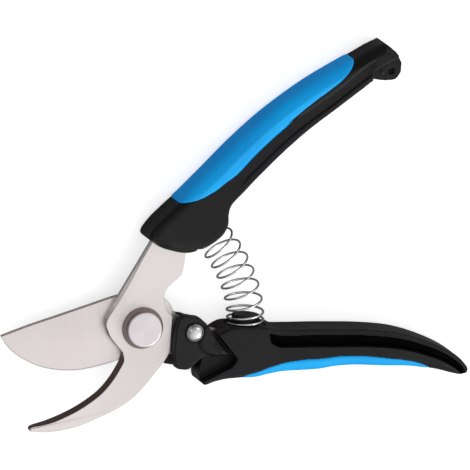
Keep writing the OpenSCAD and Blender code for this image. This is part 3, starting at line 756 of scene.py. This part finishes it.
def rounded(prof, r=0.2, n=4):
    """Rounds the corners of an (r, z) profile; points on the axis stay."""
    P = [np.array(p, float) for p in prof]
    out = []
    for i, p in enumerate(P):
        if i in (0, len(P) - 1):
            out.append(tuple(p))
            continue
        a, b = P[i - 1] - p, P[i + 1] - p
        la, lb = np.linalg.norm(a), np.linalg.norm(b)
        q = min(r, la * 0.45, lb * 0.45)
        A, B = p + a / la * q, p + b / lb * q
        for k in range(n + 1):
            t = k / n
            out.append(tuple((1 - t) ** 2 * A + 2 * t * (1 - t) * p + t * t * B))
    return out


def cut(ob, *tools):
    for t in tools:
        m = ob.modifiers.new("cut", "BOOLEAN")
        m.operation = "DIFFERENCE"
        m.solver = "EXACT"
        m.object = t
        bpy.context.view_layer.update()
        dg = bpy.context.evaluated_depsgraph_get()
        me = bpy.data.meshes.new_from_object(ob.evaluated_get(dg))
        ob.modifiers.clear()
        ob.data = me
        bpy.data.objects.remove(t)
    return ob


def drill(x, y, r, z0, z1, seg=72):
    return lathe("drill", [(0, z0), (r, z0), (r, z1), (0, z1)], x, y, seg)


# ------------------------------------------------------------------ cutting blade
blade_edge = [[-63.4, -5.6], [-59.4, -10.3], [-54.4, -14], [-47.4, -17.4], [-40.3, -19.3],
              [-33.3, -20], [-26.4, -19.7], [-19.6, -18.4], [-12.8, -16.6], [-7, -14.8], [0, -13.6]]
blade_back = [[-63.4, -4.6], [-51, 0.1], [-37.4, 4.7], [-24, 9.3], [-12.6, 13.2], [-4, 15.2],
              [4, 14.8], [10.3, 12.6], [13.1, 10], [15.2, 6.6], [17.8, 4.2], [20.5, 4.6], [25, 4.2], [29, 2], [32, -1]]
tang_end = [[46, -2.5], [62, -4], [66, -8], [62, -12.5], [46, -14], [30, -13.5], [14, -12.6]]
bz0, bz1 = nbox("cutting_blade")[0][2], nbox("cutting_blade")[1][2]
ne = 110
E = curve(blade_edge, ne)[:-1]
rest = dense([[0, -13.6]] + tang_end[::-1] + [[32, -1]]) + list(curve(blade_back, 110)[::-1])
P = np.array(list(E) + rest)
k = np.arange(len(P))
isE = k < len(E)
w_ = np.where(isE, sstep(-3, 14, k) * (1 - sstep(82, 100, k)), 0)
setb = 6.0 * w_
ch = 0.14
# front face chamfer, hair-thin cutting edge, wide ground bevel behind
tipf = np.minimum(1, np.minimum(np.linalg.norm(P - P[0], axis=1), 4) / 4 + 0.15)
cutting_blade = plate("cutting_blade_steel", P, [
    (bz0, (setb + ch) * np.where(isE, 1, tipf)), (bz0 + ch, setb), (bz1 - 0.42, np.where(isE, 0.12, 0)), (bz1 - 0.36, 0), (bz1 - 0.3, 0),
    (bz1, np.where(isE, 0.42 * np.minimum(w_ + 0.25, 1), 0.14) * tipf)])
cut(cutting_blade, drill(0, 0, 4.02, -9, 9), drill(RVX, RVY, 2.02, -9, 9), drill(40, -8, 2.5, -9, 9), drill(54, -8, 2.5, -9, 9))
sharp_by_angle(cutting_blade, 12)

# ------------------------------------------------------------------ hook plate
BF = 13.4
hook_left = [[6, 48], [0.9, 37.6], [-12.2, 13.2]]
hook_nose = [[-12.2, 13.2], [-15.6, 5.8], [-16.8, 1.6], [-15.6, -1.8], [-13.9, -4.9], [-8.9, -10.4]]
hook_inner = [[-8.2, -11.2], [-8.7, -14.6], [-10.6, -18.8], [-13, -23], [-16.8, -27.9], [-21.2, -31.8],
              [-27.7, -36.2], [-34.3, -39.6], [-41, -42.4], [-47.4, -44.4], [-48.8, -45.7]]
hook_outer = [[-48.2, -46.8], [-42, -47.2], [-35.7, -46.8], [-29.6, -45.6], [-23.8, -43.8], [-16.9, -40.8],
              [-11, -38], [-3.2, -33], [3.5, -26], [8.1, -19.7], [11.4, -15.2], [13.1, -12]]
hook_right = [[BF, -8.5], [BF, 7.6], [11.2, 11.2], [9, 14.2], [10.4, 18.2],
              [14.2, 21.8], [16.4, 24.4], [17.2, 28.6], [17.6, 33.9], [19.5, 42]]
hook_tang = [[26.5, 52], [31, 60], [29, 63.5], [21, 59.5], [6, 48]]
hz0, hz1 = nbox("hook_plate")[0][2], nbox("hook_plate")[1][2]
sA = dense(hook_left)
sB = list(curve(hook_nose, 44)[:-1])
sC = list(curve(hook_inner, 100))
sD = list(curve(hook_outer, 110))
sR = dense([[13.1, -12]] + [[BF, -8.5], [BF, 7.6]], 0.7)[1:] + list(curve(hook_right[1:], 60)[:-1])
sT = dense([hook_right[-1]] + hook_tang, 0.9)
P = np.array(sA + sB + sC + sD + sR + sT)
tag = np.concatenate([np.full(len(q), i) for i, q in enumerate((sA, sB, sC, sD, sR, sT))])
loc = np.concatenate([np.linspace(0, 1, len(q)) for q in (sA, sB, sC, sD, sR, sT)])
top = np.full(len(P), 0.16)
top = np.where(tag == 2, 0.16 + 1.35 * sstep(0.0, 0.12, loc) * (1 - 0.9 * sstep(0.72, 0.99, loc)), top)
top = np.where(tag == 0, 0.55 + 0.76 * sstep(0.45, 0.85, loc), top)
top = np.where(tag == 1, 0.16 + 1.15 * (1 - sstep(0.0, 0.3, loc)), top)
top = np.where(tag == 3, 0.10 + 0.3 * sstep(0.03, 0.2, loc), top)
zbr = hz1 - np.where(tag == 2, 0.9, np.where(top > 0.3, 0.9, 0.3))


def plate_v(name, P, levels):
    """As plate, but each level may hold a height per vertex."""
    P = np.asarray(P)
    N = ring_normals(P)
    n = len(P)
    V, F = [], []
    for zz, ins in levels:
        ins = np.broadcast_to(np.asarray(ins, float), (n,))
        zz = np.broadcast_to(np.asarray(zz, float), (n,))
        Q = P + N * ins[:, None]
        V += [(q[0], q[1], h_) for q, h_ in zip(Q, zz)]
    for k_ in range(len(levels) - 1):
        for j in range(n):
            a0, b0 = k_ * n + j, k_ * n + (j + 1) % n
            F.append([a0, b0, b0 + n, a0 + n])
    F.append(list(range(n))[::-1])
    F.append([(len(levels) - 1) * n + j for j in range(n)])
    return new_mesh(name, V, F, smooth=False)


hook_plate = plate_v("hook_plate_steel", P, [
    (hz0, 0.08), (hz0 + 0.1, 0), (np.where(tag == 2, hz0 + 0.5, zbr), 0), (hz1 - 0.12, np.maximum(top - 0.12, 0.0)), (hz1, top)])
cut(hook_plate, drill(0, 0, 5.25, -9, 9), drill(13, 48, 2.2, -9, 9), drill(23, 56, 2.2, -9, 9))
ca = math.radians(38)
rbx, rby = RVX * math.cos(ca) - RVY * math.sin(ca), RVX * math.sin(ca) + RVY * math.cos(ca)
cut(hook_plate, lathe("rebate", [(0, 1.75), (9.6, 1.75), (9.6, 3.3), (9.85, 3.6), (9.85, 6), (0, 6)], rbx, rby, 128))
sharp_by_angle(hook_plate, 14)

# ================================================================== pivot stack
lo, hi = nbox("pivot_bolt")
zt = hi[2]
zh = nbox("pivot_washer")[1][2] + 0.02
pivot_bolt = lathe("pivot_bolt_head", rounded([
    (0, zt), (7.3, zt), (7.7, zt - 0.2), (7.92, zt - 0.5), (7.92, zh + 0.4), (7.6, zh + 0.02), (4.0, zh + 0.02),
    (4.0, -3.9), (3.5, -4.1), (3.5, -9.0), (3.2, lo[2]), (1.3, lo[2]), (1.2, -8.2), (0, -8.2)], 0.16), seg=144)
sharp_by_angle(pivot_bolt, 26)
lo, hi = nbox("pivot_washer")
WR_ = hi[0]
pivot_washer = lathe("pivot_washer_ring", rounded([
    (4.05, lo[2]), (WR_ - 0.15, lo[2]), (WR_, lo[2] + 0.12), (WR_ - 0.04, lo[2] + 0.3), (7.75, hi[2]), (4.05, hi[2]), (4.05, lo[2])], 0.07, 3), seg=144)
sharp_by_angle(pivot_washer, 26)
lo, hi = nbox("pivot_bushing")
pivot_bushing = lathe("pivot_bushing_ring", rounded([(4.05, lo[2] + 0.5), (4.05, hi[2] - 0.15), (4.2, hi[2]), (5.05, hi[2]), (5.23, hi[2] - 0.18), (5.23, lo[2] + 0.18), (5.05, lo[2]), (4.2, lo[2]), (4.05, lo[2] + 0.15), (4.05, lo[2] + 0.5)], 0.05, 2))
sharp_by_angle(pivot_bushing)
lo, hi = nbox("spring_washer")
spring_washer = lathe("spring_washer_cone", rounded([(4.15, lo[2] + 0.4), (4.15, hi[2] - 0.05), (5.9, hi[2]), (7.65, hi[2] - 0.3), (7.8, hi[2] - 0.45), (7.8, lo[2] + 0.08), (7.7, lo[2]), (4.25, lo[2]), (4.15, lo[2] + 0.4)], 0.05, 2), seg=112)
sharp_by_angle(spring_washer)
# hex nut with chamfered corners and a plain collar
lo, hi = nbox("lock_nut")
hh = 0.16
G = Grid((-8.4, -8.4, lo[2] - 0.5), (8.4, 8.4, hi[2] + 0.5), hh)
rr_ = np.sqrt(G.X ** 2 + G.Y ** 2)[..., None]
af = (hi[1] - lo[1]) / 2
hexd = np.max([np.abs(G.X * math.sin(t) - G.Y * math.cos(t)) for t in (0, math.pi / 3, 2 * math.pi / 3)], axis=0)[..., None] - af
ztop, zlow = hi[2], -7.4
nut = smax(hexd, np.abs(G.z - (ztop + zlow) / 2) - (ztop - zlow) / 2, 0.15)
nut = smax(nut, (rr_ - af - 0.25) * 0.5 + (zlow - G.z) * 0.866 + 0.0, 0.12)
nut = smax(nut, (rr_ - af - 0.3) * 0.5 + (G.z - ztop) * 0.866 + 0.0, 0.12)
nut = smin(nut, rmax(rr_ - 5.8, np.abs(G.z - (lo[2] + 4.2 / 2 - 0.0)) - 4.2 / 2, 0.45), 0.25)
nut = smax(nut, 3.52 - rr_, 0.08)
nut = smax(nut, -np.maximum(rr_ - 5.0, G.z + 7.6), 0.08)
lock_nut = G.mesh("lock_nut_hex", nut)
keep_islands(lock_nut, 200)
lo, hi = nbox("nut_lock_ring")
nut_lock_ring = lathe("nut_lock_ring_nylon", rounded([(3.56, lo[2] + 0.3), (3.56, hi[2]), (4.96, hi[2]), (4.96, lo[2] + 0.12), (4.8, lo[2]), (3.8, lo[2] + 0.02), (3.56, lo[2] + 0.3)], 0.07, 3))
sharp_by_angle(nut_lock_ring, 40)

# ================================================================== latch, its rivet and washers
latch_face = [[13.8, -8], [14, -3], [14.3, 1.5], [15.2, 4.9], [17.2, 6.3], [20.1, 6.5], [22.7, 5.6], [26, 4.3],
              [28.9, 2.5], [31.3, -0.8], [34.5, -4.9], [38.4, -8.6], [40.2, -10.9], [39.6, -12.2], [36.5, -12.6],
              [32.8, -12.5], [29.2, -12.5], [26.6, -13.9], [24.8, -15.6], [23.3, -17.2], [21.8, -18.4], [20, -18.7],
              [17.4, -18.5], [15.4, -17.4], [14.2, -15.2]]
pad = [[24.6, -6.5], [26, -9], [28.4, -10.7], [32.8, -12], [38.8, -11.7], [39.6, -10.9], [38.2, -8.6],
       [34.2, -4.3], [31.0, -0.6], [28.6, 1.9], [26.6, 1.2], [25.2, -2.4]]
lo, hi = nbox("latch")
hh = 0.19
G = Grid((12.6, -20.2, 0.0), (41.6, 8.4, hi[2] + 0.8), hh)
X, Y, z = G.X, G.Y, G.z
LT = hi[2]
low_ = 3.72
lf = poly_sd(latch_face, X, Y)
rv2 = np.sqrt((X - RVX) ** 2 + (Y - RVY) ** 2)
rv3 = rv2[..., None]
# head: flat face set lower than the rounded thumb pad that stands on it
head_z = LT - 1.25
draft = lf[..., None] + 0.16 * np.maximum(z - low_, 0)
body = rmax(draft, z - head_z, 0.7)
pd_ = poly_sd(pad, X, Y)[..., None]
thumb = rmax(pd_ + 0.45 * np.maximum(z - head_z, 0), z - LT, 1.7)
body = smin(body, thumb, 0.12)
body = smax(body, lf[..., None], 0.15)
# four short ridges across the pad
px_, py_ = (X - 34.4) * math.cos(-0.83) + (Y + 7.4) * math.sin(-0.83), -(X - 34.4) * math.sin(-0.83) + (Y + 7.4) * math.cos(-0.83)
ridge = 0.5 + 0.5 * np.cos(2 * np.pi * (px_ - 0.0) / 1.25)
ridge = ridge ** 2 * sstep(-2.75, -2.45, px_) * sstep(2.75, 2.45, px_) * sstep(1.5, 1.1, np.abs(py_ + 0.2))
body = body - 0.5 * ridge[..., None] * (z > head_z + 0.2)
body = smax(body, low_ - z, 0.3)
# chamfered toe with fine upright grooves
toe = (X - 15.0) * -0.55 + (Y + 18.5) * -0.83
along = (X - 15.0) * 0.83 - (Y + 18.5) * 0.55
groove = 0.5 - 0.5 * np.cos(2 * np.pi * along / 1.3)
body = smax(body, toe[..., None] + 0.6 * np.maximum(z - low_, 0) - 0.4 + 0.28 * groove[..., None], 0.25)
# shallow ring round the rivet
body = smax(body, -np.maximum(rv3 - 4.5, head_z - 0.35 - z), 0.3)
hub = smax(rv3 - 6.5, np.abs(z - 2.3) - 1.75, 0.15)
ang = np.degrees(np.arctan2(Y - RVY, X - RVX)) % 360
sec = np.maximum((207 - ang) * 0.16, (ang - 250) * 0.16)
cam = smax(np.maximum(rv2 - 9.4, sec)[..., None], np.abs(z - 2.98) - 1.03, 0.12)
body = smin(smin(body, hub, 0.1), cam, 0.1)
body = smax(body, 2.05 - rv3, 0.1)
latch = G.mesh("latch_lever", body)
keep_islands(latch)
del body
lo, hi = nbox("latch_rivet")
zr = LT - 0.55
hR = hi[2] - zr + 0.35
RR = (3.8 * 3.8 + hR * hR) / (2 * hR)
dome = [(RR * math.sin(t), zr + hR - RR + RR * math.cos(t)) for t in np.linspace(0, math.asin(3.8 / RR) * 0.985, 22)]
latch_rivet = lathe("latch_rivet_dome", dome + rounded([(3.8, zr + 0.1), (3.7, zr - 0.3), (2.0, zr), (2.0, -8.15), (3.2, -8.2), (3.15, -8.55), (2.2, lo[2]), (0, lo[2])], 0.12, 3), RVX, RVY, 112)
sharp_by_angle(latch_rivet, 30)
lo, hi = nbox("latch_washer")
latch_washer = lathe("latch_washer_ring", rounded([(2.1, 0.25), (2.1, hi[2]), (5.2, hi[2]), (5.2, lo[2]), (2.1, lo[2]), (2.1, 0.25)], 0.06, 2), RVX, RVY)
sharp_by_angle(latch_washer)
lo, hi = nbox("rivet_washer")
rivet_washer = lathe("rivet_washer_ring", rounded([(2.03, -7.8), (2.03, hi[2]), (4.3, hi[2]), (4.3, lo[2] + 0.1), (4.15, lo[2]), (2.03, lo[2]), (2.03, -7.8)], 0.08, 3), RVX, RVY)
sharp_by_angle(rivet_washer)

# ================================================================== coil spring
TURNS, WR, CR = 10.0, 0.5, 8.0
# the line leaves each seat along that seat's axis and bends evenly in between
lean_, tilt_ = math.radians(1.5), math.radians(45)
foot_, head_ = np.array([48.4, 1.2]), np.array([0.56, 0.915]) * 48.4
bend_ = tilt_ - lean_
lead_ = 4 / 3 * math.tan(bend_ / 4) * np.linalg.norm(head_ - foot_) / (2 * math.sin(bend_ / 2))
SP = np.array([foot_, foot_ + lead_ * np.array([-math.sin(lean_), math.cos(lean_)]),
               head_ - lead_ * np.array([-math.sin(tilt_), math.cos(tilt_)]), head_])


def spring_c(w_):
    w_ = np.asarray(w_)[:, None]
    v_ = 1 - w_
    return v_ ** 3 * SP[0] + 3 * v_ * v_ * w_ * SP[1] + 3 * v_ * w_ * w_ * SP[2] + w_ ** 3 * SP[3]


def spring_d(w_):
    w_ = np.asarray(w_)[:, None]
    v_ = 1 - w_
    d_ = v_ * v_ * (SP[1] - SP[0]) + 2 * v_ * w_ * (SP[2] - SP[1]) + w_ * w_ * (SP[3] - SP[2])
    return d_ / np.linalg.norm(d_, axis=1)[:, None]


tk = (np.arange(2000) + 0.5) / 2000 * TURNS
pk = (0.45 + 0.55 * sstep(0.8, 2.4, tk)) * (0.25 + 0.75 * sstep(1.0, 2.6, TURNS - tk))
ck_ = np.concatenate([[0], np.cumsum(pk)]) / pk.sum()
tk = np.linspace(0, TURNS, 2001)


def rise(t):
    return 0.011 + 0.978 * np.interp(t, tk, ck_)


def coil(t):
    w_ = rise(t)
    c_, d_ = spring_c(w_), spring_d(w_)
    q = 2 * np.pi * t + math.pi
    return np.stack([c_[:, 0] + d_[:, 1] * CR * np.cos(q), c_[:, 1] - d_[:, 0] * CR * np.cos(q), -CR * np.sin(q)], -1)


per, seg = ((60, 14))
T = np.linspace(0, TURNS, int(per * TURNS) + 1)
C0, C1 = coil(T), coil(T + 1e-4)
tan = C1 - C0
tan /= np.linalg.norm(tan, axis=1)[:, None]
ctr = np.concatenate([spring_c(rise(T)), np.zeros((len(T), 1))], 1)
r1 = C0 - ctr
r1 -= tan * (r1 * tan).sum(1)[:, None]
r1 /= np.linalg.norm(r1, axis=1)[:, None]
r2 = np.cross(tan, r1)
V, F, W = [], [], []
# share of the upper handle's turn taken by each ring, by its angle about the pivot
wt = np.degrees(np.arctan2(ctr[:, 1], ctr[:, 0]))
wt = np.clip((wt - 3.5) / (55.5 - 3.5), 0, 1)
for i in range(len(T)):
    for j in range(seg):
        q = 2 * math.pi * j / seg
        V.append(C0[i] + WR * (r1[i] * math.cos(q) + r2[i] * math.sin(q)))
        W.append(wt[i])
for i in range(len(T) - 1):
    for j in range(seg):
        a0, b0 = i * seg + j, i * seg + (j + 1) % seg
        F.append([a0, b0, b0 + seg, a0 + seg])
# slightly domed cut ends
for i, sgn in ((0, -1), (len(T) - 1, 1)):
    prev = i * seg
    for fr_, hgt in ((0.75, 0.10), (0.35, 0.16)):
        st_ = len(V)
        for j in range(seg):
            q = 2 * math.pi * j / seg
            V.append(C0[i] + sgn * tan[i] * hgt + fr_ * WR * (r1[i] * math.cos(q) + r2[i] * math.sin(q)))
            W.append(wt[i])
        for j in range(seg):
            F.append([prev + j, prev + (j + 1) % seg, st_ + (j + 1) % seg, st_ + j])
        prev = st_
    F.append([prev + j for j in range(seg)])
me = bpy.data.meshes.new("coil_spring_wire")
me.from_pydata((np.array(V) * MM + OFF).tolist(), [], F)
me.polygons.foreach_set("use_smooth", [True] * len(me.polygons))
coil_spring = bpy.data.objects.new("coil_spring_wire", me)
bpy.context.scene.collection.objects.link(coil_spring)
bm = bmesh.new()
bm.from_mesh(me)
bmesh.ops.recalc_face_normals(bm, faces=bm.faces)
bm.to_mesh(me)
bm.free()

# ================================================================== finishes
# painted shade: the handle nylon is coloured blacker in its deep side channels
mat_black = plastic("handle_nylon", (0.0072, 0.0064, 0.0078), rough=0.34, wear=0.35, spec=0.25, recess_shade=True)
mat_latch = plastic("latch_nylon", (0.0095, 0.0088, 0.0102), rough=0.32, wear=0.4, spec=0.27)
# painted glow: the blue grip rubber emits a little light
mat_blue = rubber("grip_rubber", (0.001, 0.49, 1.0), rough=0.5, painted_glow=0.15)
# painted shade: the wall colours darken the side walls of plates and fasteners, partly real dull sheared edges; on the
# hook the edge is painted dark inside the jaw and bright along the neck
mat_blade = brushed("blade_steel", (0.82, 0.755, 0.75), math.radians(98), rough=0.38, streak=0.16, wall=(0.74, 0.66, 0.64))
mat_hook = brushed("hook_steel", (0.82, 0.765, 0.76), math.radians(60), rough=0.40, streak=0.15, wall=(0.12, 0.08, 0.066), neck_edge_light=(0.86, 0.80, 0.80))
# painted shade: the washer steel is coloured dark brown to stand for the dark ring round the bolt head
mat_flange_shade = brushed("flange_steel_shaded", (0.25, 0.20, 0.19), math.radians(70), rough=0.30, streak=0.3, across=700, along=60)
mat_bolt = brushed("bolt_steel", (0.82, 0.775, 0.79), math.radians(20), rough=0.34, streak=0.2, across=900, along=60, wall=(0.34, 0.31, 0.32))
mat_rivet = brushed("rivet_plated", (0.86, 0.86, 0.87), 0.3, rough=0.27, streak=0.15, across=500, along=90)
mat_spring = brushed("spring_wire_bright", (0.80, 0.80, 0.81), 0.9, rough=0.2, streak=0.3, across=700, along=120)
mat_bush = brushed("bushing_bronze", (0.62, 0.45, 0.22), 0.0, rough=0.4, streak=0.3)
mat_ring = rubber("lock_ring_nylon", (0.05, 0.16, 0.42), rough=0.35)

ROWS = [
    (cutting_blade, "cutting_blade", "blade_half", "plate_steel", mat_blade),
    (hook_plate, "hook_plate", "hook_half", "plate_steel", mat_hook),
    (pivot_bolt, "pivot_bolt", "blade_half", "bolt_steel", mat_bolt),
    (pivot_washer, "pivot_washer", "blade_half", "bolt_steel", mat_flange_shade),
    (pivot_bushing, "pivot_bushing", "hook_half", "bushing", mat_bush),
    (spring_washer, "spring_washer", "blade_half", "bolt_steel", mat_bolt),
    (lock_nut, "lock_nut", "blade_half", "bolt_steel", mat_bolt),
    (nut_lock_ring, "nut_lock_ring", "blade_half", "lock_ring", mat_ring),
    (upper_handle, "upper_handle", "hook_half", "handle_black", mat_black),
    (upper_grip, "upper_grip", "hook_half", "grip_blue", mat_blue),
    (lower_handle, "lower_handle", "blade_half", "handle_black", mat_black),
    (lower_grip, "lower_grip", "blade_half", "grip_blue", mat_blue),
    (latch, "latch", "latch", "latch_black", mat_latch),
    (latch_rivet, "latch_rivet", "blade_half", "rivet", mat_rivet),
    (latch_washer, "latch_washer", "blade_half", "bolt_steel", mat_bolt),
    (rivet_washer, "rivet_washer", "blade_half", "bolt_steel", mat_bolt),
]
for ob, node, body, slot_, mat in ROWS:
    ob.data.materials.clear()
    ob.data.materials.append(mat)
    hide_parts(node)
    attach(ob, body)
coil_spring.data.materials.append(mat_spring)
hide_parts("coil_spring")
pa = Vector((SP[0][0], SP[0][1], 0)) * MM + OFFV
pb = Vector((SP[3][0], SP[3][1], 0)) * MM + OFFV
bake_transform(coil_spring, "blade_half", "hook_half", pa, pb)
at_ = coil_spring.data.attributes.get("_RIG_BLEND")
at_.data.foreach_set("value", np.array(W, np.float32))
coil_spring.data.update()

# ================================================================== floor, light, camera
def area(name, loc, target, size, energy, colour=(1, 1, 1)):
    L = bpy.data.lights.new(name, "AREA")
    L.shape = "RECTANGLE"
    L.size, L.size_y = size
    L.energy = energy
    L.color = colour
    o = bpy.data.objects.new(name, L)
    bpy.context.scene.collection.objects.link(o)
    loc = Vector(loc) + OFFV
    o.location = loc
    d_ = Vector(target) - loc
    o.rotation_euler = d_.to_track_quat("-Z", "Y").to_euler()
    o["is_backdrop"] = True
    return o


zf = cad_lo.z - 0.00005
fm = bpy.data.meshes.new("floor")
fm.from_pydata([(-4, -4, zf), (4, -4, zf), (4, 4, zf), (-4, 4, zf)], [], [(0, 1, 2, 3)])
floor = bpy.data.objects.new("floor", fm)
bpy.context.scene.collection.objects.link(floor)
m, nt, b, tc = principled("floor_paper")
n1 = noise(nt, tc.outputs["Object"], 6, 3, 0.5)
lp = nt.nodes.new("ShaderNodeLightPath")
paper = ramp(nt, n1, [(0.3, (0.90, 0.90, 0.905)), (0.7, (0.92, 0.92, 0.92))])
nt.links.new(mixc(nt, lp.outputs["Is Camera Ray"], (0.34, 0.33, 0.33), paper), b.inputs["Base Color"])
b.inputs["Roughness"].default_value = 0.9
b.inputs["Specular IOR Level"].default_value = 0.1
b.inputs["Emission Color"].default_value = (1, 1, 1, 1)
nt.links.new(math_n(nt, "MULTIPLY", lp.outputs["Is Camera Ray"], 0.62), b.inputs["Emission Strength"])
fm.materials.append(m)
floor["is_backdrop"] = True

wd = bpy.data.worlds.new("studio")
bpy.context.scene.world = wd
wd.use_nodes = True
wn = wd.node_tree
bg = wn.nodes["Background"]
tcw = wn.nodes.new("ShaderNodeTexCoord")
dp = wn.nodes.new("ShaderNodeVectorMath")
dp.operation = "DOT_PRODUCT"
wn.links.new(tcw.outputs["Generated"], dp.inputs[0])
dp.inputs[1].default_value = (0.46, -0.40, 0.79)
mr = wn.nodes.new("ShaderNodeMapRange")
mr.inputs["From Min"].default_value = -0.25
mr.inputs["From Max"].default_value = 0.95
mr.inputs["To Min"].default_value = 0.16
mr.inputs["To Max"].default_value = 1.0
wn.links.new(dp.outputs["Value"], mr.inputs["Value"])
cmb = wn.nodes.new("ShaderNodeCombineXYZ")
# past the floor's edge the camera sees the same white as the floor
lpw = wn.nodes.new("ShaderNodeLightPath")
tone = math_n(wn, "MAXIMUM", mr.outputs[0], lpw.outputs["Is Camera Ray"])
for k_ in range(3):
    wn.links.new(tone, cmb.inputs[k_])
wn.links.new(cmb.outputs[0], bg.inputs["Color"])
wn.links.new(math_n(wn, "ADD", math_n(wn, "MULTIPLY", lpw.outputs["Is Camera Ray"], 0.6), 0.88), bg.inputs["Strength"])

cen = Vector((0.042, 0.040, 0.0)) + OFFV
area("key", (0.95, -0.75, 0.62), cen, (0.6, 0.6), 4.2)
area("rim", (0.75, 0.85, 0.55), cen, (0.35, 0.35), 1.0)
area("edge", (-0.75, 0.45, 0.45), cen, (0.25, 0.5), 0.35)

cam = bpy.data.cameras.new("photo_camera")
camo = bpy.data.objects.new("photo_camera", cam)
bpy.context.scene.collection.objects.link(camo)
bpy.context.scene.camera = camo
D = 8.0
right = Vector((0.9517, 0.0694, 0.2990)).normalized()
back = Vector((-0.307, 0.215, 0.927)).normalized()
up = back.cross(right).normalized()
right = up.cross(back).normalized()
aim = right * 0.0417 + up * 0.0401
camo.matrix_world = Matrix((
    (right.x, up.x, back.x, 0), (right.y, up.y, back.y, 0), (right.z, up.z, back.z, 0), (0, 0, 0, 1)))
camo.location = aim + OFFV + back * D
cam.sensor_width = 36
cam.lens = D * 36 / 0.2068
cam.clip_end = 40
camo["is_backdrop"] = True
bpy.context.scene.view_settings.view_transform = "Standard"

lo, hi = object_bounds()
